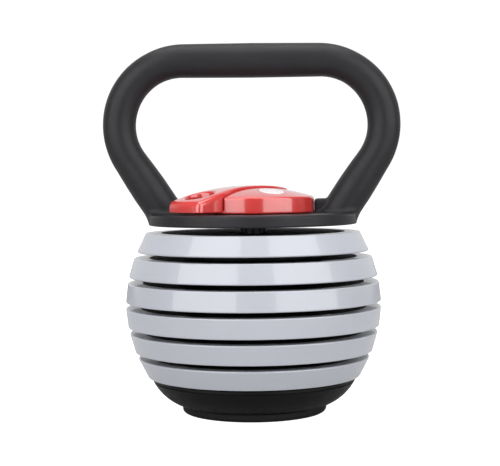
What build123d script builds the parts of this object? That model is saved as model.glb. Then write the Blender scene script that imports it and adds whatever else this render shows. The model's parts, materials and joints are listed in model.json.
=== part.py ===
"""Dial-selected adjustable kettlebell, in millimetres.

The origin is the centre of the foot's lower face, +Z is up, +X runs along the grip to the right
and -Y faces the user, on the side where the lever of the selector dial starts its sweep.

A black base cradle carries six iron plates, each standing on the hub of the one below. The cast
handle carries a selector: a red dial, a steel rod and six lock cams, one cam under each plate's
web. Every web has a pair of slots, longer by one dial step on each plate further down, so at dial
position n the lugs have turned in under the webs of plates 1 to n, and still line up with the
slots of the others. At rest the dial is at position 0 and the handle lifts out alone.
"""

from build123d import *
from math import cos, radians, sin
import os

# --- stack of plates ---------------------------------------------------------------------------
PLATE_COUNT = 6
STACK_TOP = 134.7             # top face of plate 1
PLATE_THICKNESS = 14.5
PLATE_PITCH = 18.6
PLATE_RIMS = [                # radius at the top edge and at the bottom edge, plate 1 first
    (80.0, 86.8),
    (88.8, 93.1),
    (93.9, 95.6),
    (95.6, 94.0),
    (93.0, 88.8),
    (87.0, 79.5),
]
PLATE_EDGE = 0.5              # small chamfer on the cast rims
PLATE_BORE = 37.0

# --- nylon hub of a plate ----------------------------------------------------------------------
HUB_INLAY_MARGIN = 11.4       # width of the iron ring left round the inlay
HUB_INLAY_DEPTH = 1.2
HUB_CORE_RADIUS = 36.8
HUB_BOSS_RADIUS = 51.4
WEB_THICKNESS = 8.5
ROD_PASSAGE = 11.0            # radius of the hole that the rod assembly comes up through
POCKET_RADIUS = 24.0
PEG_CIRCLE = 30.5             # locating pegs and hub screws share this circle
PEG_RADIUS = 3.2
PEG_LENGTH = 3.0
PEG_CLEARANCE = 0.35
HUB_SCREW_RADIUS = 2.0
HUB_SCREW_HEAD = 3.5
HUB_SCREW_AZIMUTHS = (45, 135, 225, 315)

# --- selector ----------------------------------------------------------------------------------
DIAL_STEP = 18.0              # degrees from one weight to the next
LUG_AZIMUTH = 30.0            # middle of a cam lug at rest
LUG_WIDTH = 14.0              # degrees
LUG_CLEARANCE = 2.0           # degrees, each side of a lug in its slot
LUG_RADIUS = 20.0
SLOT_RADIUS = 20.7
CAM_RADIUS = 10.5
CAM_THICKNESS = 4.0
CAM_DROP = 9.2                # from a plate's top face down to its cam
ROD_RADIUS = 6.0
ROD_FLAT = 5.0                # distance of the drive flat from the rod's axis
ROD_FIT = 0.03
ROD_END = 18.0
NUT_RADIUS = 10.39            # thin M12 nut, 18 mm across flats
NUT_HEIGHT = 6.0
SLEEVE_RADIUS = 8.0
SLEEVE_SHOULDER = 134.5

# --- handle ------------------------------------------------------------------------------------
BAR_RADIUS = 12.8
BAR_HEIGHT = 262.6            # axis of the grip
BEND_RADIUS = 48.0
BEND_X = 51.0                 # half length of the straight grip
LEG_LEAN = 33.5               # degrees from upright, towards the middle
FLANGE_RADIUS = 77.0
FLANGE_BOTTOM = 139.9
FLANGE_TOP = 148.6
FLANGE_EDGE = 1.2
WELL_RADIUS = 24.0            # recess in the flange that holds the click mechanism
WELL_FLOOR = 144.1
BUSH_RADIUS = 9.65
BUSH_FIT = 0.05
BUSH_HEAD_RADIUS = 14.0
BUSH_HEAD = 0.8
STOP_INNER = 46.4             # lugs at the feet of the legs, either side of the lever's sweep
STOP_LENGTH = 15.0
STOP_HALF_WIDTH = 7.0
STOP_HEIGHT = 10.6
PIN_SHOULDER_RADIUS = 7.0     # stand-off pins between the flange and plate 1

# --- click mechanism ---------------------------------------------------------------------------
INDEX_RADIUS = 17.0
INDEX_THICKNESS = 2.5
CLICK_AZIMUTH = 270.0         # where the leaf spring's nose meets the notches
NOTCH_DEPTH = 1.3
NOTCH_HALF_WIDTH = 1.5
SPRING_OFFSET = 18.2          # distance of the leaf from the axis
SPRING_THICKNESS = 0.6
SPRING_HALF_LENGTH = 13.0
RIVET_RADIUS = 1.2

# --- dial --------------------------------------------------------------------------------------
DIAL_RADIUS = 46.0
DIAL_BOTTOM = 149.2
DIAL_FLOOR = 151.8            # floor of the channel that the lever lies in
DIAL_TOP = 168.0
DIAL_SHOULDER = 160.8         # top of the dial's upright wall
DIAL_WALL = 3.0
LEVER_TOP = 169.4
LEVER_BOTTOM = 150.3
LEVER_CROWN = 212.0           # radius of the lever's spherical top
LEVER_AZIMUTH = 222.0
LEVER_GAP = 0.8
LEVER_END = 67.5
LEVER_END_HALF_WIDTH = 17.8
LEVER_END_BULGE = 1.5
LEVER_CORNER = 4.0
FINGER_HOLE_RADIUS = 10.6
FINGER_HOLE_DISTANCE = 51.0
BOSS_RADIUS = 12.0
BOSS_TOP = 158.2
BADGE_RADIUS = 9.5
BADGE_DISTANCE = 27.7
BADGE_AZIMUTH = 300.0
BOLT_RADIUS = 3.0
BOLT_HEAD_RADIUS = 5.0

# --- base --------------------------------------------------------------------------------------
FOOT_RADIUS = 54.0
FOOT_INNER = 44.0
FOOT_HEIGHT = 5.8
FOOT_ROUND = 3.5
TRAY_RADIUS = 76.0
TRAY_TOP = 26.6
TRAY_RIM = 2.3
TRAY_FLOOR = 23.1
TRAY_THICKNESS = 3.0
SEAM = 0.8                    # fine groove under the tray's rim
SHELL_THICKNESS = 3.0
SHELL_MID = (68.2, 13.8)      # radius and height half way up the bowl
BASE_SCREW_CIRCLE = 38.0
BASE_BOSS_RADIUS = 5.0
SOCKET_RADIUS = 13.0

# --- worked out --------------------------------------------------------------------------------
PLATE_TOPS = [STACK_TOP - PLATE_PITCH * k for k in range(PLATE_COUNT)]
CAM_TOPS = [top - CAM_DROP for top in PLATE_TOPS]
INDEX_BOTTOM = WELL_FLOOR + BUSH_HEAD
INDEX_TOP = INDEX_BOTTOM + INDEX_THICKNESS
DIAL_RISE = DIAL_TOP - DIAL_SHOULDER
DIAL_CROWN = (DIAL_RADIUS ** 2 + DIAL_RISE ** 2) / (2 * DIAL_RISE)
UP = (Align.CENTER, Align.CENTER, Align.MIN)


def disc(radius, low, high, x=0.0, y=0.0):
    """Upright cylinder from the height low to the height high."""
    return Pos(x, y, low) * Cylinder(radius, high - low, align=UP)


def ring(outer, inner, low, high, x=0.0, y=0.0):
    """Upright tube."""
    return disc(outer, low, high, x, y) - disc(inner, low - 1, high + 1, x, y)


def polar(radius, azimuth):
    """Point on a circle about the axis."""
    return radius * cos(radians(azimuth)), radius * sin(radians(azimuth))


def turned(points):
    """Solid of revolution about Z from (radius, height) corners."""
    outline = Polyline([(r, 0, z) for r, z in points], close=True)
    return revolve(make_face(outline), Axis.Z)


def d_shape(radius, flat, low, high):
    """Round bar with one flat, which faces +X."""
    bar = disc(radius, low, high)
    beyond = Pos(flat, 0, low - 1) * Box(radius, 4 * radius, high - low + 2,
                                         align=(Align.MIN, Align.CENTER, Align.MIN))
    return bar - beyond


def sector(radius, start, end, low, high):
    """Wedge about the axis, from the azimuth start to the azimuth end, in degrees."""
    middle = (start + end) / 2
    rim = ThreePointArc(polar(radius, start), polar(radius, middle), polar(radius, end))
    sides = [Line((0, 0), polar(radius, start)), Line(polar(radius, end), (0, 0))]
    return Pos(0, 0, low) * extrude(make_face(Curve() + [sides[0], rim, sides[1]]), high - low)


def countersunk(x, y, head_low, head_high, tip, head_radius, shank_radius):
    """Flat-headed screw that points up, with a cross recess in its head."""
    head = disc(head_radius, head_low, head_high, x, y)
    shank = disc(shank_radius, head_high, tip, x, y)
    recess_depth = 0.6 * (head_high - head_low)
    recess = Pos(x, y, head_low) * (Box(1.4 * head_radius, 0.8, 2 * recess_depth)
                                    + Box(0.8, 1.4 * head_radius, 2 * recess_depth))
    return head + shank - recess


def group(solids):
    """Identical pieces that share one node."""
    return Compound(children=list(solids))


# --- plates ------------------------------------------------------------------------------------
def plate_iron(top, rims):
    upper, lower = rims
    bottom = top - PLATE_THICKNESS
    body = turned([
        (PLATE_BORE, bottom),
        (lower - PLATE_EDGE, bottom),
        (lower, bottom + PLATE_EDGE),
        (upper, top - PLATE_EDGE),
        (upper - PLATE_EDGE, top),
        (PLATE_BORE, top),
    ])
    return body - disc(upper - HUB_INLAY_MARGIN + 0.3, top - HUB_INLAY_DEPTH, top + 1)


def hub_top(top, rim, number):
    """Inlaid cover disc and the web with the rod passage and its pair of slots."""
    web_bottom = top - WEB_THICKNESS
    inlay = disc(rim - HUB_INLAY_MARGIN, top - HUB_INLAY_DEPTH, top)
    body = inlay + disc(HUB_CORE_RADIUS, web_bottom, top)
    body -= disc(ROD_PASSAGE, web_bottom - 1, top + 1)
    start = LUG_AZIMUTH - LUG_WIDTH / 2 - LUG_CLEARANCE
    span = LUG_WIDTH + 2 * LUG_CLEARANCE + DIAL_STEP * (number - 1)
    for side in (0, 180):
        body -= sector(SLOT_RADIUS, start + side, start + side + span, web_bottom - 1, top + 1)
    for y in (-PEG_CIRCLE, PEG_CIRCLE):
        body -= disc(PEG_RADIUS + PEG_CLEARANCE, top - PEG_LENGTH - 1, top + 1, 0, y)
    for azimuth in HUB_SCREW_AZIMUTHS:
        x, y = polar(PEG_CIRCLE, azimuth)
        body -= disc(HUB_SCREW_RADIUS, web_bottom - 1, top - 2.5, x, y)
    return body


def hub_bottom(top):
    """Boss that stands on the plate below, with the pocket that the cam turns in."""
    low = top - PLATE_PITCH
    flange_top = top - PLATE_THICKNESS
    web_bottom = top - WEB_THICKNESS
    body = disc(HUB_BOSS_RADIUS, low, flange_top) + disc(HUB_CORE_RADIUS, low, web_bottom)
    body -= disc(POCKET_RADIUS, low - 1, web_bottom + 1)
    for y in (-PEG_CIRCLE, PEG_CIRCLE):
        body += disc(PEG_RADIUS, low - PEG_LENGTH, low, 0, y)
    for azimuth in HUB_SCREW_AZIMUTHS:
        x, y = polar(PEG_CIRCLE, azimuth)
        body -= disc(HUB_SCREW_HEAD + 0.3, low - 1, low + 3.0, x, y)
        body -= disc(HUB_SCREW_RADIUS + 0.2, low, web_bottom + 1, x, y)
    return body


def hub_screws(top):
    low = top - PLATE_PITCH
    places = [polar(PEG_CIRCLE, azimuth) for azimuth in HUB_SCREW_AZIMUTHS]
    return group(countersunk(x, y, low + 0.5, low + 3.0, top - 3.0, HUB_SCREW_HEAD, HUB_SCREW_RADIUS)
                 for x, y in places)


# --- handle ------------------------------------------------------------------------------------
def handle_frame():
    """Cast bar, legs and flange in one piece."""
    lean_cos = cos(radians(LEG_LEAN))
    lean_sin = sin(radians(LEG_LEAN))
    bend_z = BAR_HEIGHT - BEND_RADIUS
    bend_end = (BEND_X + BEND_RADIUS * lean_cos, bend_z - BEND_RADIUS * lean_sin)
    leg_drop = bend_end[1] - FLANGE_BOTTOM + BAR_RADIUS
    foot = (bend_end[0] - leg_drop * lean_sin / lean_cos, bend_end[1] - leg_drop)
    half_turn = radians(90 - LEG_LEAN) / 2
    bend_mid = (BEND_X + BEND_RADIUS * cos(half_turn - radians(LEG_LEAN) / 2),
                bend_z + BEND_RADIUS * sin(half_turn - radians(LEG_LEAN) / 2))
    half = [
        Line((0, 0, BAR_HEIGHT), (BEND_X, 0, BAR_HEIGHT)),
        ThreePointArc((BEND_X, 0, BAR_HEIGHT), (bend_mid[0], 0, bend_mid[1]), (bend_end[0], 0, bend_end[1])),
        Line((bend_end[0], 0, bend_end[1]), (foot[0], 0, foot[1])),
    ]
    section = Plane.YZ * Circle(BAR_RADIUS)
    right = sweep(Pos(0, 0, BAR_HEIGHT) * section, path=Curve() + half)
    bar = right + mirror(right, about=Plane.YZ)
    bar -= disc(3 * FLANGE_RADIUS, FLANGE_BOTTOM - 60, FLANGE_BOTTOM)
    flange = disc(FLANGE_RADIUS, FLANGE_BOTTOM, FLANGE_TOP)
    flange = fillet(flange.edges().sort_by(Axis.Z)[-1], FLANGE_EDGE)
    body = bar + flange
    stop = Pos(STOP_INNER, 0, FLANGE_TOP - 1) * Box(
        STOP_LENGTH, 2 * STOP_HALF_WIDTH, STOP_HEIGHT + 1, align=(Align.MIN, Align.CENTER, Align.MIN))
    stop = fillet(stop.edges().filter_by(Axis.Y).sort_by(Axis.Z)[-2:].sort_by(Axis.X)[0], 5.0)
    body += stop
    body += mirror(stop, about=Plane.YZ)
    body -= disc(WELL_RADIUS, WELL_FLOOR, FLANGE_TOP + 1)
    body -= disc(BUSH_RADIUS, FLANGE_BOTTOM - 1, FLANGE_TOP)
    for y in (-PEG_CIRCLE, PEG_CIRCLE):
        body -= disc(PEG_RADIUS + 1, FLANGE_BOTTOM - 1, FLANGE_BOTTOM + 7, 0, y)
    for x, y in rivet_places():
        body -= disc(RIVET_RADIUS, WELL_FLOOR - 3, WELL_FLOOR + 1, x, y)
    return body


def standoff_pins():
    """Pins that hold the flange clear of plate 1 and keep the handle from turning on it."""
    pins = []
    for y in (-PEG_CIRCLE, PEG_CIRCLE):
        pin = disc(PIN_SHOULDER_RADIUS, STACK_TOP, FLANGE_BOTTOM, 0, y)
        pin += disc(PEG_RADIUS, STACK_TOP - PEG_LENGTH, STACK_TOP, 0, y)
        pin += disc(PEG_RADIUS + 1, FLANGE_BOTTOM, FLANGE_BOTTOM + 7, 0, y)
        pins.append(pin)
    return group(pins)


def rod_bush():
    tube = ring(BUSH_RADIUS, SLEEVE_RADIUS + BUSH_FIT, STACK_TOP, WELL_FLOOR)
    return tube + ring(BUSH_HEAD_RADIUS, SLEEVE_RADIUS + BUSH_FIT, WELL_FLOOR, INDEX_BOTTOM)


def rivet_places():
    reach = SPRING_HALF_LENGTH - 3.0
    y = -(SPRING_OFFSET + SPRING_THICKNESS + RIVET_RADIUS)
    return [(-reach, y), (reach, y)]


def spring_rivets():
    return group(disc(RIVET_RADIUS, WELL_FLOOR - 3, INDEX_TOP, x, y) for x, y in rivet_places())


def detent_spring():
    """Leaf spring on edge, with a folded nose that drops into the notches of the index plate."""
    near = -SPRING_OFFSET
    far = near - SPRING_THICKNESS
    tip = -(INDEX_RADIUS - NOTCH_DEPTH + 0.15)
    nose = 2.6
    outline = Polyline([
        (-SPRING_HALF_LENGTH, far),
        (-nose - 0.25, far),
        (0, tip - 1.0),
        (nose + 0.25, far),
        (SPRING_HALF_LENGTH, far),
        (SPRING_HALF_LENGTH, near),
        (nose, near),
        (0, tip),
        (-nose, near),
        (-SPRING_HALF_LENGTH, near),
    ], close=True)
    return Pos(0, 0, WELL_FLOOR + 0.4) * extrude(make_face(outline), INDEX_TOP - WELL_FLOOR - 0.6)


# --- selector ----------------------------------------------------------------------------------
def index_plate():
    """Notched disc on the rod, with one notch for each weight."""
    body = disc(INDEX_RADIUS, INDEX_BOTTOM, INDEX_TOP)
    body -= d_shape(ROD_RADIUS + ROD_FIT, ROD_FLAT + ROD_FIT, INDEX_BOTTOM - 1, INDEX_TOP + 1)
    notch = extrude(make_face(Polyline([
        (-NOTCH_HALF_WIDTH - 0.6, -INDEX_RADIUS - 0.6),
        (0, -INDEX_RADIUS + NOTCH_DEPTH),
        (NOTCH_HALF_WIDTH + 0.6, -INDEX_RADIUS - 0.6),
    ], close=True)), INDEX_THICKNESS + 2)
    for step in range(PLATE_COUNT + 1):
        body -= Rot(0, 0, CLICK_AZIMUTH - 270 - DIAL_STEP * step) * (Pos(0, 0, INDEX_BOTTOM - 1) * notch)
    return body


def selector_rod():
    body = d_shape(ROD_RADIUS, ROD_FLAT, ROD_END, BOSS_TOP - 0.3)
    return body - disc(BOLT_RADIUS, BOSS_TOP - 16, BOSS_TOP + 1)


def rod_hole(low, high):
    return d_shape(ROD_RADIUS + ROD_FIT, ROD_FLAT + ROD_FIT, low - 1, high + 1)


def rod_sleeve():
    """Bearing surface in the bush, with a shoulder that keeps the rod from rising."""
    low = CAM_TOPS[0]
    body = disc(CAM_RADIUS, low, SLEEVE_SHOULDER) + disc(SLEEVE_RADIUS, SLEEVE_SHOULDER, INDEX_BOTTOM)
    return body - rod_hole(low, INDEX_BOTTOM)


def lock_cam(top):
    low = top - CAM_THICKNESS
    body = disc(CAM_RADIUS, low, top)
    for side in (0, 180):
        middle = LUG_AZIMUTH + side
        body += sector(LUG_RADIUS, middle - LUG_WIDTH / 2, middle + LUG_WIDTH / 2, low, top)
    return body - rod_hole(low, top)


def lock_cams():
    return group(lock_cam(top) for top in CAM_TOPS)


def cam_spacers():
    """Tubes that hold the cams one plate pitch apart."""
    tubes = []
    for upper, lower in zip(CAM_TOPS, CAM_TOPS[1:]):
        tubes.append(disc(CAM_RADIUS, lower, upper - CAM_THICKNESS) - rod_hole(lower, upper))
    return group(tubes)


def rod_washer():
    high = CAM_TOPS[-1] - CAM_THICKNESS
    return ring(CAM_RADIUS, ROD_RADIUS + ROD_FIT, high - 1.5, high)


def rod_nut():
    """Thin hexagon nut, small enough to pass through the webs with the rod."""
    high = CAM_TOPS[-1] - CAM_THICKNESS - 1.5
    low = high - NUT_HEIGHT
    hexagon = Pos(0, 0, low) * extrude(RegularPolygon(NUT_RADIUS, 6), NUT_HEIGHT)
    return hexagon - disc(ROD_RADIUS, low - 1, high + 1)


# --- dial --------------------------------------------------------------------------------------
def lever_outline(grow=0.0):
    """Plan of the lever, lying along +X: a rounded tail, a waist and a wide end."""
    end = LEVER_END + grow
    wide = LEVER_END_HALF_WIDTH + grow
    side = [(-35 - grow, 0), (-29, 5.4 + grow), (-15, 9.0 + grow), (1.5, 9.3 + grow),
            (17, 9.6 + grow), (30, 12.0 + grow), (43, 15.8 + grow), (54, 17.4 + grow),
            (end - LEVER_CORNER, wide)]
    upper = Spline(side, tangents=[(0, 1), (1, 0)])
    lower = Spline([(u, -v) for u, v in side], tangents=[(0, -1), (1, 0)])
    corner_in = wide - LEVER_CORNER
    turn = LEVER_CORNER * sin(radians(45))
    corners = [
        ThreePointArc((end - LEVER_CORNER, s * wide),
                      (end - LEVER_CORNER + turn, s * (corner_in + turn)),
                      (end, s * corner_in))
        for s in (1, -1)
    ]
    face = ThreePointArc((end, corner_in), (end + LEVER_END_BULGE, 0), (end, -corner_in))
    return make_face(Curve() + [upper, corners[0], face, corners[1], lower])


def ball(radius, top):
    """Sphere whose highest point is at the height top."""
    return Pos(0, 0, top - radius) * Sphere(radius)


def selector_lever():
    """Raised bar across the dial, with the finger hole in its wide end."""
    plan = lever_outline()
    bar = extrude(plan, LEVER_TOP + 1 - DIAL_FLOOR)
    bar = Pos(0, 0, DIAL_FLOOR) * bar
    skirt = Pos(0, 0, LEVER_BOTTOM) * extrude(plan, DIAL_FLOOR - LEVER_BOTTOM)
    skirt -= disc(DIAL_RADIUS + 0.3, LEVER_BOTTOM - 1, DIAL_FLOOR)
    body = Rot(0, 0, LEVER_AZIMUTH) * (bar + skirt)
    body &= ball(LEVER_CROWN, LEVER_TOP)
    x, y = polar(FINGER_HOLE_DISTANCE, LEVER_AZIMUTH)
    body -= disc(FINGER_HOLE_RADIUS, DIAL_BOTTOM - 1, LEVER_TOP + 1, x, y)
    return body - disc(BOSS_RADIUS + 0.4, DIAL_FLOOR - 3, BOSS_TOP + 5)


def badge_zone(radius, crown, top):
    x, y = polar(BADGE_DISTANCE, BADGE_AZIMUTH)
    return disc(radius, DIAL_FLOOR, LEVER_TOP, x, y) - ball(crown, top)


def selector_dial():
    """Round dial with a channel for the lever and a boss that the rod drives."""
    body = disc(DIAL_RADIUS, DIAL_BOTTOM, DIAL_TOP + 1) & ball(DIAL_CROWN, DIAL_TOP)
    channel = Pos(0, 0, DIAL_FLOOR) * extrude(lever_outline(LEVER_GAP), LEVER_TOP - DIAL_FLOOR)
    channel = Rot(0, 0, LEVER_AZIMUTH) * channel
    hollow = disc(DIAL_RADIUS - DIAL_WALL, DIAL_BOTTOM - 1, DIAL_SHOULDER - DIAL_WALL)
    wall = Rot(0, 0, LEVER_AZIMUTH) * (Pos(0, 0, DIAL_BOTTOM - 2) * extrude(
        lever_outline(LEVER_GAP + DIAL_WALL), LEVER_TOP - DIAL_BOTTOM))
    body -= hollow - wall
    body -= channel
    body += disc(BOSS_RADIUS, INDEX_TOP, BOSS_TOP)
    body -= rod_hole(INDEX_TOP, BOSS_TOP)
    x, y = polar(FINGER_HOLE_DISTANCE, LEVER_AZIMUTH)
    body -= disc(FINGER_HOLE_RADIUS + 0.4, DIAL_BOTTOM - 1, DIAL_TOP, x, y)
    return body - badge_zone(BADGE_RADIUS + 0.15, DIAL_CROWN - 0.8, DIAL_TOP - 0.8)


def dial_badge():
    """Plain domed disc let into the dial, with no mark on it."""
    disc_above = badge_zone(BADGE_RADIUS, DIAL_CROWN - 0.75, DIAL_TOP - 0.75)
    return disc_above & ball(DIAL_CROWN + 0.3, DIAL_TOP + 0.3)


def dial_bolt():
    """Button-headed bolt that clamps the dial, index plate, sleeve and cams on the rod."""
    head = disc(BOLT_HEAD_RADIUS, BOSS_TOP + 1.0, BOSS_TOP + 4.0)
    head = fillet(head.edges().sort_by(Axis.Z)[-1], 1.6)
    head -= Pos(0, 0, BOSS_TOP + 2.4) * extrude(RegularPolygon(2.3, 6), 3)
    return head + disc(BOLT_RADIUS - 0.02, BOSS_TOP - 15, BOSS_TOP + 1.0)


def bolt_washer():
    return ring(7.5, BOLT_RADIUS + 0.1, BOSS_TOP, BOSS_TOP + 1.0)


# --- base --------------------------------------------------------------------------------------
def base_foot():
    body = ring(FOOT_RADIUS, FOOT_INNER, 0, FOOT_HEIGHT)
    low_edges = body.edges().filter_by(GeomType.CIRCLE).group_by(Axis.Z)[0]
    return fillet(low_edges.sort_by(SortBy.LENGTH)[-1], FOOT_ROUND)


def base_shell():
    """Bowl with a flat bottom."""
    seam_low = TRAY_TOP - TRAY_RIM - SEAM
    rim = TRAY_RADIUS - 0.3
    low = (FOOT_RADIUS + 0.6, FOOT_HEIGHT)
    inner_low = (low[0] - 2.4, FOOT_HEIGHT + SHELL_THICKNESS)
    inner_mid = (SHELL_MID[0] - 2.4, SHELL_MID[1] + 2.0)
    inner_top = (rim - SHELL_THICKNESS, seam_low)
    lift = [(r, 0, z) for r, z in (low, SHELL_MID, (rim, seam_low), inner_top, inner_mid, inner_low)]
    outline = Curve() + [
        Line((0, 0, FOOT_HEIGHT), lift[0]),
        ThreePointArc(lift[0], lift[1], lift[2]),
        Line(lift[2], lift[3]),
        ThreePointArc(lift[3], lift[4], lift[5]),
        Line(lift[5], (0, 0, inner_low[1])),
        Line((0, 0, inner_low[1]), (0, 0, FOOT_HEIGHT)),
    ]
    body = revolve(make_face(outline), Axis.Z)
    for x, y in base_screw_places():
        body -= disc(HUB_SCREW_HEAD + 0.4, FOOT_HEIGHT - 1, FOOT_HEIGHT + 1.6, x, y)
        body -= disc(HUB_SCREW_RADIUS + 0.2, FOOT_HEIGHT, FOOT_HEIGHT + 5, x, y)
    return body


def base_screw_places():
    return [polar(BASE_SCREW_CIRCLE, azimuth) for azimuth in HUB_SCREW_AZIMUTHS]


def base_tray():
    """Seat for plate 6, with a rim, a shallow recess and screw bosses underneath."""
    rim_low = TRAY_TOP - TRAY_RIM
    seam_low = rim_low - SEAM
    seam_radius = TRAY_RADIUS - 1.6
    body = turned([
        (SOCKET_RADIUS + 1.9, TRAY_FLOOR - TRAY_THICKNESS),
        (HUB_BOSS_RADIUS + 3.8, TRAY_FLOOR - TRAY_THICKNESS),
        (HUB_BOSS_RADIUS + 3.8, seam_low),
        (seam_radius, seam_low),
        (seam_radius, rim_low),
        (TRAY_RADIUS, rim_low),
        (TRAY_RADIUS, TRAY_TOP - 0.6),
        (TRAY_RADIUS - 0.6, TRAY_TOP),
        (HUB_BOSS_RADIUS + 0.8, TRAY_TOP),
        (HUB_BOSS_RADIUS + 0.8, TRAY_FLOOR),
        (SOCKET_RADIUS + 1.9, TRAY_FLOOR),
    ])
    for y in (-PEG_CIRCLE, PEG_CIRCLE):
        body -= disc(PEG_RADIUS + PEG_CLEARANCE, 0, TRAY_TOP, 0, y)
    for x, y in base_screw_places():
        body += disc(BASE_BOSS_RADIUS, FOOT_HEIGHT + SHELL_THICKNESS, TRAY_FLOOR - 1, x, y)
        body -= disc(HUB_SCREW_RADIUS, FOOT_HEIGHT, TRAY_FLOOR - 2, x, y)
    return body


def rod_socket():
    """Cup in the tray that the foot of the rod drops into."""
    return turned([
        (0, 14.5),
        (SOCKET_RADIUS + 1.8, 14.5),
        (SOCKET_RADIUS + 1.8, TRAY_FLOOR),
        (POCKET_RADIUS - 1.5, TRAY_FLOOR),
        (POCKET_RADIUS - 1.5, TRAY_FLOOR + 1.5),
        (SOCKET_RADIUS, TRAY_FLOOR + 1.5),
        (SOCKET_RADIUS, 16.5),
        (0, 16.5),
    ])


def base_screws():
    return group(countersunk(x, y, FOOT_HEIGHT + 0.2, FOOT_HEIGHT + 1.6, TRAY_FLOOR - 4,
                             HUB_SCREW_HEAD, HUB_SCREW_RADIUS) for x, y in base_screw_places())


# --- all sub-parts -----------------------------------------------------------------------------
parts = {
    "base_foot": base_foot(),
    "base_shell": base_shell(),
    "base_tray": base_tray(),
    "rod_socket": rod_socket(),
    "base_screws": base_screws(),
    "handle_frame": handle_frame(),
    "rod_bush": rod_bush(),
    "standoff_pins": standoff_pins(),
    "detent_spring": detent_spring(),
    "spring_rivets": spring_rivets(),
    "selector_dial": selector_dial(),
    "selector_lever": selector_lever(),
    "dial_badge": dial_badge(),
    "dial_bolt": dial_bolt(),
    "bolt_washer": bolt_washer(),
    "index_plate": index_plate(),
    "selector_rod": selector_rod(),
    "rod_sleeve": rod_sleeve(),
    "lock_cams": lock_cams(),
    "cam_spacers": cam_spacers(),
    "rod_washer": rod_washer(),
    "rod_nut": rod_nut(),
}
for index, (top, rims) in enumerate(zip(PLATE_TOPS, PLATE_RIMS)):
    name = f"plate_{index + 1}"
    parts[name] = plate_iron(top, rims)
    parts[f"{name}_hub_top"] = hub_top(top, rims[0], index + 1)
    parts[f"{name}_hub_bottom"] = hub_bottom(top)
    parts[f"{name}_hub_screws"] = hub_screws(top)

os.makedirs("parts", exist_ok=True)
for name, shape in parts.items():
    export_step(shape, f"parts/{name}.step")
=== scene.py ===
"""Looks of the adjustable kettlebell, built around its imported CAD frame. Units are metres."""

import json
from math import atan2, cos, pi, radians, sin, sqrt, tan

import bmesh
import bpy
import numpy as np
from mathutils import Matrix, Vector


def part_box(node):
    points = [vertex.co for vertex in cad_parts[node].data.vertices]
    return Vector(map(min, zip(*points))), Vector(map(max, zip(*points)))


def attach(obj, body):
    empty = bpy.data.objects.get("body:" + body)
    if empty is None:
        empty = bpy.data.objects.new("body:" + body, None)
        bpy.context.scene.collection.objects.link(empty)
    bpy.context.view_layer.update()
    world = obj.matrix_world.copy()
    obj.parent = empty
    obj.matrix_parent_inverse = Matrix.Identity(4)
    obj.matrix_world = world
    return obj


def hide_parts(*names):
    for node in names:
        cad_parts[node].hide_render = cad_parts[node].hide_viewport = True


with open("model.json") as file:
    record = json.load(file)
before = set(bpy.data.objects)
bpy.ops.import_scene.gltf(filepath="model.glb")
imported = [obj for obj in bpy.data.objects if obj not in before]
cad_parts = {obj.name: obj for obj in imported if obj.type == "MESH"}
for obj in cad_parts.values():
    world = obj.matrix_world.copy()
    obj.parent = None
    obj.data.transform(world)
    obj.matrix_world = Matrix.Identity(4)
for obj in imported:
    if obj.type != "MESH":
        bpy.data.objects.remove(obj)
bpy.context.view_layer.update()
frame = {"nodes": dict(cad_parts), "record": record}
nodes = frame["nodes"]
MM = 0.001
PLATES = sorted(n for n in nodes if n.startswith("plate_") and n.count("_") == 1)


# --- measures read from the frame --------------------------------------------------------------
def vertices(node):
    mesh = nodes[node].data
    points = np.empty(len(mesh.vertices) * 3, np.float32)
    mesh.vertices.foreach_get("co", points)
    return points.reshape(-1, 3).astype(float)


def radius_at(node, height, tolerance=0.02 * MM):
    """Largest radius of a CAD node's vertices at that height."""
    points = vertices(node)
    near = points[abs(points[:, 2] - height) < tolerance]
    return float(np.hypot(near[:, 0], near[:, 1]).max())


def low(node):
    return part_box(node)[0].z


def high(node):
    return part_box(node)[1].z


# --- mesh tools --------------------------------------------------------------------------------
def link(name, vertex_list, faces, body, material, smooth=True):
    """Makes a mesh object that rides on a CAD body and takes its finish from a record slot."""
    mesh = bpy.data.meshes.new(name)
    mesh.from_pydata(vertex_list, [], faces)
    mesh.validate()
    mesh.update()
    if smooth:
        mesh.shade_smooth()
    piece = bpy.data.objects.new(name, mesh)
    bpy.context.scene.collection.objects.link(piece)
    mesh.materials.append(material)
    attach(piece, body)
    return piece


def weigh_normals(piece):
    """Keeps broad faces flat to the eye beside narrow rounded edges."""
    modifier = piece.modifiers.new("broad_faces_flat", "WEIGHTED_NORMAL")
    modifier.mode = "FACE_AREA"
    modifier.weight = 100
    modifier.keep_sharp = False


def rounded(corners, steps=5):
    """Outline from (radius, height, rounding) corners, each rounding cut as an arc."""
    outline = []
    count = len(corners)
    for i, (r, z, rounding) in enumerate(corners):
        here = Vector((r, z))
        if rounding <= 0:
            outline.append((here.x, here.y))
            continue
        before = Vector(corners[i - 1][:2]) - here
        after = Vector(corners[(i + 1) % count][:2]) - here
        half = before.angle(after) / 2
        reach = min(rounding / tan(half), 0.49 * before.length, 0.49 * after.length)
        radius = reach * tan(half)
        middle = here + (before.normalized() + after.normalized()).normalized() * radius / sin(half)
        first = here + before.normalized() * reach - middle
        last = here + after.normalized() * reach - middle
        sweep = first.angle_signed(last)
        start = atan2(first.y, first.x)
        for k in range(steps + 1):
            angle = start - sweep * k / steps
            outline.append((middle.x + radius * cos(angle), middle.y + radius * sin(angle)))
    return outline


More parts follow.
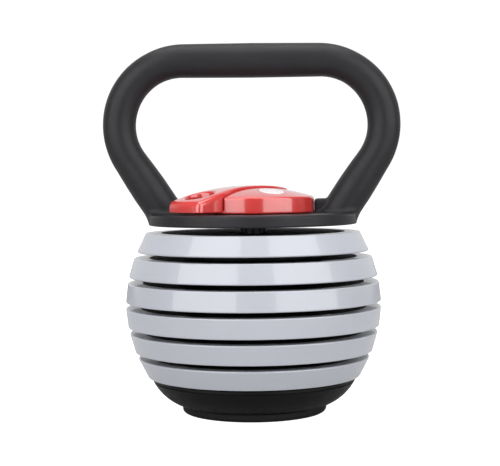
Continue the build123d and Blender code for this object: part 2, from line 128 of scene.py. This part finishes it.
def lathe(name, outline, body, material, segments=288):
    """Closed solid of revolution from a closed (radius, height) outline."""
    points = []
    rings = []
    for r, z in outline:
        if r < 1e-6:
            rings.append([len(points)] * segments)
            points.append((0.0, 0.0, z))
        else:
            rings.append(list(range(len(points), len(points) + segments)))
            points += [(r * cos(2 * pi * k / segments), r * sin(2 * pi * k / segments), z)
                       for k in range(segments)]
    faces = []
    for ring_a, ring_b in zip(rings, rings[1:] + rings[:1]):
        if ring_a[0] == ring_a[1] and ring_b[0] == ring_b[1]:
            continue
        for k in range(segments):
            n = (k + 1) % segments
            corners = [ring_a[k], ring_a[n], ring_b[n], ring_b[k]]
            face = [c for j, c in enumerate(corners) if c != corners[j - 1]]
            faces.append(face)
    piece = link(name, points, faces, body, material)
    outward(piece)
    weigh_normals(piece)
    return piece


def outward(piece):
    mesh = bmesh.new()
    mesh.from_mesh(piece.data)
    bmesh.ops.recalc_face_normals(mesh, faces=mesh.faces)
    mesh.to_mesh(piece.data)
    mesh.free()


# --- implicit surfaces -------------------------------------------------------------------------
def smooth_max(a, b, blend):
    """Larger of two distances, with a rounded edge of about that radius where they meet."""
    spread = np.clip(0.5 + 0.5 * (a - b) / blend, 0, 1)
    return b + (a - b) * spread + blend * spread * (1 - spread)


def smooth_min(a, b, blend):
    return -smooth_max(-a, -b, blend)


def capsule(u, v, start, end):
    """Distance from points in a plane to a segment, and how far along it the nearest point is."""
    run = np.subtract(end, start)
    length = float(np.hypot(*run))
    along = np.clip(((u - start[0]) * run[0] + (v - start[1]) * run[1]) / length, 0, length)
    return np.hypot(u - start[0] - along * run[0] / length, v - start[1] - along * run[1] / length), along


def surface(field, lowest, highest, step):
    """Mesh of the surface where field(points) is 0: one vertex to each grid cell that it crosses,
    moved onto the surface, and one quad to each grid edge that it crosses."""
    axes = [np.arange(a, b + step, step) for a, b in zip(lowest, highest)]
    shape = tuple(len(a) for a in axes)
    values = np.empty(shape)
    yz = np.stack(np.meshgrid(axes[1], axes[2], indexing="ij"), -1).reshape(-1, 2)
    for i, x in enumerate(axes[0]):
        points = np.column_stack([np.full(len(yz), x), yz])
        values[i] = field(points).reshape(shape[1:])
    inside = values < 0
    cells = tuple(n - 1 for n in shape)
    corner = [(i, j, k) for i in (0, 1) for j in (0, 1) for k in (0, 1)]
    count = np.zeros(cells, np.int8)
    for i, j, k in corner:
        count += inside[i:i + cells[0], j:j + cells[1], k:k + cells[2]]
    active = np.argwhere((count > 0) & (count < 8))
    number = np.full(cells, -1)
    number[tuple(active.T)] = np.arange(len(active))
    total = np.zeros((len(active), 3))
    crossings = np.zeros(len(active))
    for a in corner:
        for axis in range(3):
            if a[axis]:
                continue
            b = list(a)
            b[axis] = 1
            fa = values[tuple((active + a).T)]
            fb = values[tuple((active + b).T)]
            crossed = (fa < 0) != (fb < 0)
            share = np.where(crossed, fa / np.where(crossed, fa - fb, 1), 0)
            spot = np.repeat(np.array([a], float), len(active), 0)
            spot[:, axis] += share
            total += spot * crossed[:, None]
            crossings += crossed
    origin = np.array([a[0] for a in axes])
    points = origin + (active + total / crossings[:, None]) * step
    for _ in range(3):
        points = settle(field, points, step)
    faces = []
    for axis in range(3):
        one, two = [(1, 2), (2, 0), (0, 1)][axis]
        ahead = [slice(None)] * 3
        behind = [slice(None)] * 3
        ahead[axis] = slice(1, None)
        behind[axis] = slice(None, -1)
        crossed = np.argwhere(inside[tuple(ahead)] != inside[tuple(behind)])
        rows = crossed[(crossed[:, one] > 0) & (crossed[:, two] > 0)
                       & (crossed[:, one] < cells[one]) & (crossed[:, two] < cells[two])]
        quad = []
        for da, db in ((1, 1), (0, 1), (0, 0), (1, 0)):
            cell = rows.copy()
            cell[:, one] -= da
            cell[:, two] -= db
            quad.append(number[tuple(cell.T)])
        quad = np.column_stack(quad)
        leaving = inside[tuple(rows.T)]
        faces.append(np.where(leaving[:, None], quad, quad[:, ::-1]))
    return points, np.concatenate(faces)


def settle(field, points, step):
    """One Newton step towards the surface, no longer than half a grid cell."""
    nudge = 0.05 * step
    value = field(points)
    slope = np.empty_like(points)
    for axis in range(3):
        ahead = points.copy()
        ahead[:, axis] += nudge
        slope[:, axis] = (field(ahead) - value) / nudge
    move = -value[:, None] * slope / np.maximum((slope ** 2).sum(1), 0.05)[:, None]
    length = np.sqrt((move ** 2).sum(1))
    return points + move * np.minimum(1, 0.5 * step / np.maximum(length, 1e-12))[:, None]


def sculpt(name, field, box, step, body, material):
    lowest, highest = box
    points, faces = surface(field, lowest, highest, step)
    return link(name, points.tolist(), faces.tolist(), body, material)


# --- materials ---------------------------------------------------------------------------------
FLOOR_GLOW = 0.93
FLOOR_BOUNCE = (0.46, 0.46, 0.46)
BLACK_SHEEN = 0.11


def shader(name, roughness, metallic=0.0, coat=0.0, coat_roughness=0.05, ior=1.5):
    material = bpy.data.materials.new(name)
    material.use_nodes = True
    tree = material.node_tree
    bsdf = tree.nodes["Principled BSDF"]
    bsdf.inputs["Roughness"].default_value = roughness
    bsdf.inputs["Metallic"].default_value = metallic
    bsdf.inputs["Coat Weight"].default_value = coat
    bsdf.inputs["Coat Roughness"].default_value = coat_roughness
    bsdf.inputs["IOR"].default_value = ior
    return material, tree, bsdf


def noise(tree, scale, detail=4.0, rough=0.5):
    place = tree.nodes.new("ShaderNodeTexCoord")
    texture = tree.nodes.new("ShaderNodeTexNoise")
    texture.inputs["Scale"].default_value = scale
    texture.inputs["Detail"].default_value = detail
    texture.inputs["Roughness"].default_value = rough
    tree.links.new(place.outputs["Object"], texture.inputs["Vector"])
    return texture.outputs["Fac"]


def ramp(tree, value, stops):
    """Colour ramp with (position, colour) stops."""
    node = tree.nodes.new("ShaderNodeValToRGB")
    elements = node.color_ramp.elements
    elements[0].position, elements[0].color = stops[0][0], (*stops[0][1], 1)
    elements[1].position, elements[1].color = stops[-1][0], (*stops[-1][1], 1)
    for position, colour in stops[1:-1]:
        element = elements.new(position)
        element.color = (*colour, 1)
    tree.links.new(value, node.inputs["Fac"])
    return node.outputs["Color"]


def spread(tree, value, least, most):
    node = tree.nodes.new("ShaderNodeMapRange")
    node.inputs["From Min"].default_value = 0.3
    node.inputs["From Max"].default_value = 0.7
    node.inputs["To Min"].default_value = least
    node.inputs["To Max"].default_value = most
    tree.links.new(value, node.inputs["Value"])
    return node.outputs["Result"]


def bump(tree, bsdf, heights):
    """Chains bump nodes from (height, strength, distance) entries."""
    normal = None
    for height, strength, distance in heights:
        node = tree.nodes.new("ShaderNodeBump")
        node.inputs["Strength"].default_value = strength
        node.inputs["Distance"].default_value = distance
        tree.links.new(height, node.inputs["Height"])
        if normal is not None:
            tree.links.new(normal, node.inputs["Normal"])
        normal = node.outputs["Normal"]
    tree.links.new(normal, bsdf.inputs["Normal"])


def tone(colour, factor):
    return tuple(min(1.0, c * factor) for c in colour)


def mottled(tree, bsdf, colour, scale, contrast):
    """Base colour that drifts a little over the surface."""
    drift = noise(tree, scale)
    stops = [(0.3, tone(colour, 1 - contrast)), (0.5, colour), (0.7, tone(colour, 1 + contrast))]
    tree.links.new(ramp(tree, drift, stops), bsdf.inputs["Base Color"])


def powder_coat():
    material, tree, bsdf = shader("handle_powder_coat", 0.40)
    mottled(tree, bsdf, (0.0140, 0.0132, 0.0146), 60, 0.08)
    bsdf.inputs["Specular IOR Level"].default_value = 0.14
    tree.links.new(spread(tree, noise(tree, 220), 0.35, 0.45), bsdf.inputs["Roughness"])
    bump(tree, bsdf, [(noise(tree, 1500, 2), 0.20, 0.0001), (noise(tree, 300, 3), 0.06, 0.0003)])
    return material


def enamel():
    material, tree, bsdf = shader("plate_silver_enamel", 0.26, coat=0.55, coat_roughness=0.02)
    mottled(tree, bsdf, (0.300, 0.309, 0.340), 45, 0.01)
    bsdf.inputs["Specular IOR Level"].default_value = 0.2
    tree.links.new(spread(tree, noise(tree, 90), 0.28, 0.32), bsdf.inputs["Roughness"])
    bump(tree, bsdf, [(noise(tree, 500, 2), 0.02, 0.0001)])
    return material


def red_plastic():
    material, tree, bsdf = shader("dial_red_plastic", 0.22, coat=0.9, coat_roughness=0.05)
    mottled(tree, bsdf, (0.42, 0.024, 0.021), 70, 0.04)
    tree.links.new(spread(tree, noise(tree, 160), 0.18, 0.26), bsdf.inputs["Roughness"])
    bump(tree, bsdf, [(noise(tree, 420, 2), 0.03, 0.0002)])
    return material


def badge_plastic():
    material, tree, bsdf = shader("badge_white_plastic", 0.2, coat=0.4)
    mottled(tree, bsdf, (0.56, 0.50, 0.50), 120, 0.03)
    bump(tree, bsdf, [(noise(tree, 500, 2), 0.03, 0.0002)])
    return material


def moulded_black(name, colour, roughness, grain=900, strength=0.12):
    material, tree, bsdf = shader(name, roughness)
    bsdf.inputs["Specular IOR Level"].default_value = BLACK_SHEEN
    mottled(tree, bsdf, colour, 80, 0.12)
    tree.links.new(spread(tree, noise(tree, 240), roughness - 0.06, roughness + 0.06),
                   bsdf.inputs["Roughness"])
    bump(tree, bsdf, [(noise(tree, grain, 3), strength, 0.00015)])
    return material


def turned_steel(name, colour, roughness):
    """Metal with fine marks round the part's axis."""
    material, tree, bsdf = shader(name, roughness, metallic=1.0)
    mottled(tree, bsdf, colour, 130, 0.08)
    place = tree.nodes.new("ShaderNodeTexCoord")
    marks = tree.nodes.new("ShaderNodeTexNoise")
    squeeze = tree.nodes.new("ShaderNodeMapping")
    squeeze.inputs["Scale"].default_value = (120, 120, 2600)
    tree.links.new(place.outputs["Object"], squeeze.inputs["Vector"])
    tree.links.new(squeeze.outputs["Vector"], marks.inputs["Vector"])
    marks.inputs["Scale"].default_value = 1.0
    tree.links.new(spread(tree, marks.outputs["Fac"], roughness - 0.08, roughness + 0.1),
                   bsdf.inputs["Roughness"])
    bump(tree, bsdf, [(marks.outputs["Fac"], 0.1, 0.0001)])
    return material


def studio_floor():
    """White table in a camera's view, which sends only a little light back up to the object."""
    material, tree, bsdf = shader("studio_floor", 0.9)
    mottled(tree, bsdf, FLOOR_BOUNCE, 3, 0.01)
    bump(tree, bsdf, [(noise(tree, 60, 2), 0.02, 0.001)])
    path = tree.nodes.new("ShaderNodeLightPath")
    glow = tree.nodes.new("ShaderNodeMath")
    glow.operation = "MULTIPLY"
    glow.inputs[1].default_value = FLOOR_GLOW
    tree.links.new(path.outputs["Is Camera Ray"], glow.inputs[0])
    tree.links.new(glow.outputs["Value"], bsdf.inputs["Emission Strength"])
    bsdf.inputs["Emission Color"].default_value = (1, 1, 1, 1)
    return material


finish = {
    "handle_coat": powder_coat(),
    "plate_silver": enamel(),
    "hub_nylon": moulded_black("hub_black_nylon", (0.007, 0.007, 0.0075), 0.50, 700, 0.06),
    "dial_red": red_plastic(),
    "badge_white": badge_plastic(),
    "base_black": moulded_black("base_black_plastic", (0.0030, 0.0030, 0.0034), 0.42),
    "foot_rubber": moulded_black("foot_black_rubber", (0.010, 0.010, 0.010), 0.62, 600, 0.2),
    "black_steel": turned_steel("black_oxide_steel", (0.018, 0.018, 0.020), 0.45),
    "zinc_steel": turned_steel("zinc_plated_steel", (0.62, 0.62, 0.60), 0.30),
    "bush_nylon": moulded_black("bush_black_nylon", (0.010, 0.010, 0.011), 0.50),
    "spring_steel": turned_steel("blued_spring_steel", (0.30, 0.32, 0.38), 0.26),
}


# --- camera, lights, floor ---------------------------------------------------------------------
PICTURE_WIDTH = 500
SENSOR = 36.0
VIEW_DISTANCE = 0.975
VIEW_HEIGHT = 0.175
FOCAL_PIXELS = 1300.0
VIEW_PITCH = radians(2.43)
VIEW_ASIDE = -0.0017
VIEW_ROLL = radians(0.6)
ROOM_SEEN = 1.05              # strength that a camera sees
ROOM_FRONT = 0.32             # strengths that light the object
ROOM_BACK = 0.85
ROOM_TURN = (0.05, 0.75)      # Y of the direction where front turns to back
ROOM_TINT = (0.97, 0.98, 1.0, 1)
BOX_DISTANCE = 1.5
BOX_HEIGHT = 1.9
BOX_CENTRE = 0.95
BOX_RADIANCE = 3.6
TOP_BOX_HEIGHT = 1.35
TOP_BOX_FORWARD = -0.15
TOP_BOX_SIDE = 1.2
TOP_BOX_RADIANCE = 3.6
FLOOR_REACH = 8.0
FLOOR_SQUARES = 24


def make_camera():
    data = bpy.data.cameras.new("camera")
    data.sensor_width = SENSOR
    data.lens = FOCAL_PIXELS * SENSOR / PICTURE_WIDTH
    data.clip_end = 50
    camera = bpy.data.objects.new("camera", data)
    camera.location = (VIEW_ASIDE, -VIEW_DISTANCE, VIEW_HEIGHT)
    camera.rotation_euler = (pi / 2 - VIEW_PITCH, VIEW_ROLL, 0)
    bpy.context.scene.collection.objects.link(camera)
    bpy.context.scene.camera = camera


def softbox(name, azimuth, width):
    """Tall panel light that faces the object, at an azimuth from the viewing direction."""
    data = bpy.data.lights.new(name, "AREA")
    data.shape = "RECTANGLE"
    data.size = width
    data.size_y = BOX_HEIGHT
    data.energy = BOX_RADIANCE * pi * width * BOX_HEIGHT
    lamp = bpy.data.objects.new(name, data)
    lamp.location = (BOX_DISTANCE * sin(azimuth), -BOX_DISTANCE * cos(azimuth), BOX_CENTRE)
    aim = Vector((0, 0, BOX_CENTRE)) - lamp.location
    lamp.rotation_euler = aim.to_track_quat("-Z", "Y").to_euler()
    bpy.context.scene.collection.objects.link(lamp)


def softbox_above(name):
    """Square panel light that faces down."""
    data = bpy.data.lights.new(name, "AREA")
    data.shape = "SQUARE"
    data.size = TOP_BOX_SIDE
    data.energy = TOP_BOX_RADIANCE * pi * TOP_BOX_SIDE * TOP_BOX_SIDE
    lamp = bpy.data.objects.new(name, data)
    lamp.location = (0, TOP_BOX_FORWARD, TOP_BOX_HEIGHT)
    bpy.context.scene.collection.objects.link(lamp)


def make_studio():
    """White room behind the object, darker in front of it; a camera sees white all round."""
    world = bpy.data.worlds.new("studio")
    world.use_nodes = True
    tree = world.node_tree
    seen = tree.nodes["Background"]
    seen.inputs["Color"].default_value = (1, 1, 1, 1)
    seen.inputs["Strength"].default_value = ROOM_SEEN
    room = tree.nodes.new("ShaderNodeBackground")
    direction = tree.nodes.new("ShaderNodeTexCoord")
    split = tree.nodes.new("ShaderNodeSeparateXYZ")
    tree.links.new(direction.outputs["Generated"], split.inputs["Vector"])
    depth = tree.nodes.new("ShaderNodeMapRange")
    depth.interpolation_type = "SMOOTHSTEP"
    depth.inputs["From Min"].default_value = ROOM_TURN[0]
    depth.inputs["From Max"].default_value = ROOM_TURN[1]
    depth.inputs["To Min"].default_value = ROOM_FRONT
    depth.inputs["To Max"].default_value = ROOM_BACK
    tree.links.new(split.outputs["Y"], depth.inputs["Value"])
    tree.links.new(depth.outputs["Result"], room.inputs["Strength"])
    room.inputs["Color"].default_value = ROOM_TINT
    path = tree.nodes.new("ShaderNodeLightPath")
    either = tree.nodes.new("ShaderNodeMixShader")
    tree.links.new(path.outputs["Is Camera Ray"], either.inputs["Fac"])
    tree.links.new(room.outputs["Background"], either.inputs[1])
    tree.links.new(seen.outputs["Background"], either.inputs[2])
    tree.links.new(either.outputs["Shader"], tree.nodes["World Output"].inputs["Surface"])
    bpy.context.scene.world = world
    softbox("softbox_left", radians(-44.3), 1.70)
    softbox("softbox_right", radians(48), 1.66)
    softbox_above("softbox_top")
    bpy.context.scene.view_settings.view_transform = "Standard"
    bpy.context.scene.view_settings.look = "None"
    count = FLOOR_SQUARES
    side = 2 * FLOOR_REACH / count
    grid = [(-FLOOR_REACH + side * i, -FLOOR_REACH + side * j, 0.0)
            for j in range(count + 1) for i in range(count + 1)]
    faces = []
    for j in range(count):
        for i in range(count):
            k = j * (count + 1) + i
            faces.append((k, k + 1, k + count + 2, k + count + 1))
    mesh = bpy.data.meshes.new("floor")
    mesh.from_pydata(grid, [], faces)
    mesh.materials.append(studio_floor())
    floor = bpy.data.objects.new("floor", mesh)
    bpy.context.scene.collection.objects.link(floor)


# --- handle ------------------------------------------------------------------------------------
BAR_RADIUS = 12.8 * MM
BEND_RADIUS = 48.0 * MM
LEG_LEAN = radians(33.5)
LEG_DROP = 60 * MM            # height of the straight leg, which ends below the flange
# half of the bar: distances along it from its middle, and its radius there
BAR_STATIONS = np.array([0, 45, 75, 110, 140, 155, 168, 180, 200, 300]) * MM
BAR_RADII = np.array([12.9, 12.6, 12.2, 12.4, 12.3, 12.5, 13.2, 13.6, 13.5, 13.5]) * MM
BUSH_HEAD = 0.8 * MM
WELL_RADIUS = 24 * MM
WELL_DEPTH = 4.5 * MM
FLANGE_EDGE = 1.1 * MM
LUG_MIDDLE = 53.9 * MM
LUG_HALF_LENGTH = 7.5 * MM
LUG_HALF_WIDTH = 7 * MM
LUG_HEIGHT = 10.6 * MM


def bar_path():
    """Centre line of the right half of the bar, read from the handle casting's size."""
    top = high("handle_frame")
    half_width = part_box("handle_frame")[1].x
    centre = (half_width - BAR_RADIUS - BEND_RADIUS, top - BAR_RADIUS - BEND_RADIUS)
    start = (centre[0] + BEND_RADIUS * cos(LEG_LEAN), centre[1] - BEND_RADIUS * sin(LEG_LEAN))
    end = (start[0] - LEG_DROP * tan(LEG_LEAN), start[1] - LEG_DROP)
    return centre, start, end


def build_handle():
    """Casting with a bar of varying thickness, and soft joints between legs, flange and lugs."""
    centre, leg_start, leg_end = bar_path()
    bend, lean = BEND_RADIUS, LEG_LEAN
    grip_half = centre[0]
    bend_length = bend * (pi / 2 + lean)
    bottom = low("handle_frame")
    well_floor = high("rod_bush") - BUSH_HEAD
    flange_top = well_floor + WELL_DEPTH
    flange_radius = radius_at("handle_frame", bottom)
    bush_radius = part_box("rod_bush")[1].x

    def field(p):
        x = abs(p[:, 0])
        y = p[:, 1]
        z = p[:, 2]
        grip, grip_along = capsule(x, z, (0, centre[1] + bend), (grip_half, centre[1] + bend))
        leg, leg_along = capsule(x, z, leg_start, leg_end)
        angle = np.clip(np.arctan2(z - centre[1], x - centre[0]), -lean, pi / 2)
        curve = np.hypot(x - centre[0] - bend * np.cos(angle), z - centre[1] - bend * np.sin(angle))
        along = np.where(curve <= grip, grip_half + bend * (pi / 2 - angle), grip_along)
        nearest = np.minimum(curve, grip)
        along = np.where(leg < nearest, grip_half + bend_length + leg_along, along)
        nearest = np.minimum(nearest, leg)
        bar = np.hypot(nearest, y) - np.interp(along, BAR_STATIONS, BAR_RADII)
        from_axis = np.hypot(p[:, 0], y)
        side = from_axis - flange_radius
        flange = smooth_max(side, z - flange_top, 2 * FLANGE_EDGE)
        flange = smooth_max(flange, bottom - z, FLANGE_EDGE)
        stop = smooth_max(abs(x - LUG_MIDDLE) - LUG_HALF_LENGTH, abs(y) - LUG_HALF_WIDTH, 1.2 * MM)
        stop = smooth_max(stop, z - flange_top - LUG_HEIGHT, 3 * MM)
        body = smooth_min(bar, flange, 5 * MM)
        body = smooth_min(body, stop, 1.5 * MM)
        body = smooth_max(body, bottom - z, 0.8 * MM)
        well = np.maximum(from_axis - WELL_RADIUS, well_floor - z)
        well = np.where(z > flange_top + 2 * MM, 1.0, well)
        passage = from_axis - bush_radius
        body = np.maximum(body, -np.where(from_axis < 40 * MM, well, 1.0))
        return np.maximum(body, -np.where(z < flange_top + 2 * MM, passage, 1.0))

    margin = 3 * MM
    lowest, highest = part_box("handle_frame")
    box = ([lowest.x - margin, lowest.y - margin, lowest.z - margin],
           [highest.x + margin, highest.y + margin, highest.z + margin])
    step = 0.9 * MM
    piece = sculpt("handle_casting", field, box, step, "handle", finish["handle_coat"])
    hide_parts("handle_frame")


# --- dial and lever ----------------------------------------------------------------------------
LEVER_AZIMUTH = radians(222)
BADGE_AZIMUTH = radians(300)
DIAL_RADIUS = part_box("selector_dial")[1].x
DIAL_BOTTOM = 149.2 * MM
DIAL_FLOOR = low("selector_lever") + 1.5 * MM
LEVER_TOP = high("selector_lever")
LEVER_CROWN = 212 * MM        # radius of the lever's domed top
LEVER_END = 67.5 * MM
LEVER_END_HALF_WIDTH = 17.8 * MM
LEVER_END_BULGE = 1.5 * MM
LEVER_CORNER = 4 * MM
LEVER_GAP = 0.8 * MM
HOLE_DISTANCE = 51 * MM
HOLE_RADIUS = 10.6 * MM
DIAL_SHOULDER = 160.8 * MM    # top of the dial's upright wall
DIAL_CROWN_TOP = 168.0 * MM
BADGE_DISTANCE = 27.7 * MM
BADGE_RADIUS = 9.5 * MM
BOSS_RADIUS = 12 * MM
BOSS_HEIGHT = 6.4 * MM


def lever_plan():
    """Closed plan outline of the lever lying along +X, as a dense line."""
    side = [(-35, 0), (-33, 3.4), (-29, 5.4), (-22, 7.5), (-15, 9.0), (1.5, 9.3), (17, 9.6), (30, 12.0),
            (43, 15.8), (54, 17.4), (63.5, 17.8)]
    side = [(u * MM, v * MM) for u, v in side]
    line = []
    points = np.array([side[0]] + side + [side[-1]])
    for k in range(1, len(points) - 2):
        p0, p1, p2, p3 = points[k - 1:k + 3]
        for t in np.linspace(0, 1, 12, endpoint=False):
            line.append(0.5 * (2 * p1 + (p2 - p0) * t + (2 * p0 - 5 * p1 + 4 * p2 - p3) * t ** 2
                               + (3 * p1 - p0 - 3 * p2 + p3) * t ** 3))
    corner, end, wide = LEVER_CORNER, LEVER_END, LEVER_END_HALF_WIDTH
    for t in np.linspace(0, pi / 2, 12):
        line.append(np.array([end - corner + corner * sin(t), wide - corner + corner * cos(t)]))
    for t in np.linspace(1, 0, 12)[1:]:
        v = t * (wide - corner)
        line.append(np.array([end + LEVER_END_BULGE * (1 - t * t), v]))
    upper = np.array(line)
    lower = upper[::-1][1:-1] * (1, -1)
    return np.concatenate([upper, lower])


def plan_distance(outline, reach, step):
    """Lookup of the signed distance to a closed outline in the plane."""
    grid = np.arange(-reach, reach + step, step)
    gu, gv = np.meshgrid(grid, grid, indexing="ij")
    best = np.full(gu.shape, 1e9)
    crossings = np.zeros(gu.shape, int)
    for a, b in zip(outline, np.roll(outline, -1, 0)):
        distance, _ = capsule(gu, gv, a, b)
        best = np.minimum(best, distance)
        spans = (a[1] > gv) != (b[1] > gv)
        if a[1] != b[1]:
            crossings += spans & (gu < a[0] + (gv - a[1]) * (b[0] - a[0]) / (b[1] - a[1]))
    signed = np.where(crossings % 2 == 1, -best, best)

    def look_up(u, v):
        fu = np.clip((u + reach) / step, 0, len(grid) - 1.001)
        fv = np.clip((v + reach) / step, 0, len(grid) - 1.001)
        iu = fu.astype(int)
        iv = fv.astype(int)
        su = fu - iu
        sv = fv - iv
        return ((signed[iu, iv] * (1 - su) + signed[iu + 1, iv] * su) * (1 - sv)
                + (signed[iu, iv + 1] * (1 - su) + signed[iu + 1, iv + 1] * su) * sv)

    return look_up


def dome(p, crown, top):
    """Distance outside a sphere whose highest point is at the height top."""
    return np.sqrt(p[:, 0] ** 2 + p[:, 1] ** 2 + (p[:, 2] - top + crown) ** 2) - crown


def build_dial():
    """Dial, lever and badge, which turn together."""
    lever_distance = plan_distance(lever_plan(), 76 * MM, 0.4 * MM)
    turn_cos, turn_sin = cos(LEVER_AZIMUTH), sin(LEVER_AZIMUTH)
    bottom = low("selector_lever")
    rise = DIAL_CROWN_TOP - DIAL_SHOULDER
    crown = (DIAL_RADIUS ** 2 + rise ** 2) / (2 * rise)
    hole = (HOLE_DISTANCE * turn_cos, HOLE_DISTANCE * turn_sin)
    badge = Vector((BADGE_DISTANCE * cos(BADGE_AZIMUTH), BADGE_DISTANCE * sin(BADGE_AZIMUTH)))
    boss_bottom = low("selector_dial")

    def along_across(p):
        return p[:, 0] * turn_cos + p[:, 1] * turn_sin, -p[:, 0] * turn_sin + p[:, 1] * turn_cos

    def lever(p):
        u, v = along_across(p)
        from_axis = np.hypot(p[:, 0], p[:, 1])
        z = p[:, 2]
        side = lever_distance(u, v)
        softness = np.interp(u, [20 * MM, 45 * MM], [1.6 * MM, 4.2 * MM])
        body = smooth_max(side, dome(p, LEVER_CROWN, LEVER_TOP), softness)
        floor = np.where(from_axis > DIAL_RADIUS + 0.3 * MM, bottom, DIAL_FLOOR)
        body = smooth_max(body, floor - z, 0.4 * MM)
        finger = HOLE_RADIUS - np.hypot(p[:, 0] - hole[0], p[:, 1] - hole[1])
        body = smooth_max(body, finger, 2.4 * MM)
        pocket = np.maximum(from_axis - BOSS_RADIUS - 0.4 * MM, z - DIAL_FLOOR - 11.4 * MM)
        return np.maximum(body, -pocket)

    def dial(p):
        u, v = along_across(p)
        from_axis = np.hypot(p[:, 0], p[:, 1])
        z = p[:, 2]
        top = dome(p, crown, DIAL_CROWN_TOP)
        from_badge = np.hypot(p[:, 0] - badge.x, p[:, 1] - badge.y) - BADGE_RADIUS - 0.15 * MM
        top = np.maximum(top, -np.maximum(from_badge, -top - 0.8 * MM))
        body = smooth_max(from_axis - DIAL_RADIUS, top, 1.4 * MM)
        body = smooth_max(body, DIAL_BOTTOM - z, 0.8 * MM)
        channel = np.maximum(lever_distance(u, v) - LEVER_GAP, DIAL_FLOOR - z)
        body = smooth_max(body, -channel, 0.6 * MM)
        boss = np.maximum(from_axis - BOSS_RADIUS, np.maximum(boss_bottom - z, z - DIAL_FLOOR - BOSS_HEIGHT))
        body = np.minimum(body, boss)
        finger = HOLE_RADIUS + 0.4 * MM - np.hypot(p[:, 0] - hole[0], p[:, 1] - hole[1])
        return np.maximum(body, finger)

    def badge_disc(p):
        top = dome(p, crown, DIAL_CROWN_TOP)
        from_badge = np.hypot(p[:, 0] - badge.x, p[:, 1] - badge.y) - BADGE_RADIUS
        cap = smooth_max(from_badge, top - 0.3 * MM, 0.6 * MM)
        return np.maximum(cap, -top - 0.75 * MM)

    step = 0.45 * MM
    margin = 2 * MM
    for name, field, node, slot in (("dial_body", dial, "selector_dial", "dial_red"),
                                    ("dial_lever", lever, "selector_lever", "dial_red"),
                                    ("dial_badge_disc", badge_disc, "dial_badge", "badge_white")):
        lowest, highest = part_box(node)
        box = ([c - margin for c in lowest], [c + margin for c in highest])
        piece = sculpt(name, field, box, step, "selector", finish[slot])
        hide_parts(node)


# --- plates ------------------------------------------------------------------------------------
PLATE_BORE = 37 * MM
PLATE_CAD_EDGE = 0.5 * MM     # chamfer on a plate's rim in the CAD
PLATE_EDGE = 0.9 * MM         # rounding of the same rim here
INLAY_THICKNESS = 1.2 * MM
INLAY_GAP = 0.3 * MM
SEAT_EDGE = 0.4 * MM


def build_plates():
    """Conical rims with a shallow seat for the inlay on top."""
    for plate in PLATES:
        bottom = low(plate)
        top = high(plate)
        lower = radius_at(plate, bottom + PLATE_CAD_EDGE)
        upper = radius_at(plate, top - PLATE_CAD_EDGE)
        seat = high(f"{plate}_hub_top") - INLAY_THICKNESS
        seat_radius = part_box(f"{plate}_hub_top")[1].x + INLAY_GAP
        outline = rounded([
            (PLATE_BORE, bottom, 0),
            (lower, bottom, PLATE_EDGE),
            (upper, top, PLATE_EDGE),
            (seat_radius, top, SEAT_EDGE),
            (seat_radius, seat, 0),
            (PLATE_BORE, seat, 0),
        ])
        piece = lathe(f"{plate}_casting", outline, f"{plate}_unit", finish["plate_silver"])
        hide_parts(plate)


# --- base --------------------------------------------------------------------------------------
FOOT_INNER = 44 * MM
FOOT_EDGES = (0.8 * MM, 3.5 * MM, 0.4 * MM)    # rounding: inner bottom, outer bottom, outer top


def build_base():
    """Rubber ring that the base stands on."""
    foot_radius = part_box("base_foot")[1].x
    foot_top = high("base_foot")
    inner_bottom, outer_bottom, outer_top = FOOT_EDGES
    foot = lathe("foot_ring", rounded([
        (FOOT_INNER, 0, inner_bottom),
        (foot_radius, 0, outer_bottom),
        (foot_radius, foot_top, outer_top),
        (FOOT_INNER, foot_top, 0),
    ]), "base", finish["foot_rubber"])
    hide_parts("base_foot")


# --- the rest of the CAD nodes -----------------------------------------------------------------
def dress_nodes():
    """Gives each CAD node the material of its slot."""
    slots = {row["node"]: row["material_slot"] for row in frame["record"]["subparts"]}
    for name, node in nodes.items():
        node.data.materials.clear()
        node.data.materials.append(finish[slots[name]])


make_camera()
make_studio()
dress_nodes()
build_handle()
build_dial()
build_plates()
build_base()

bpy.context.view_layer.update()
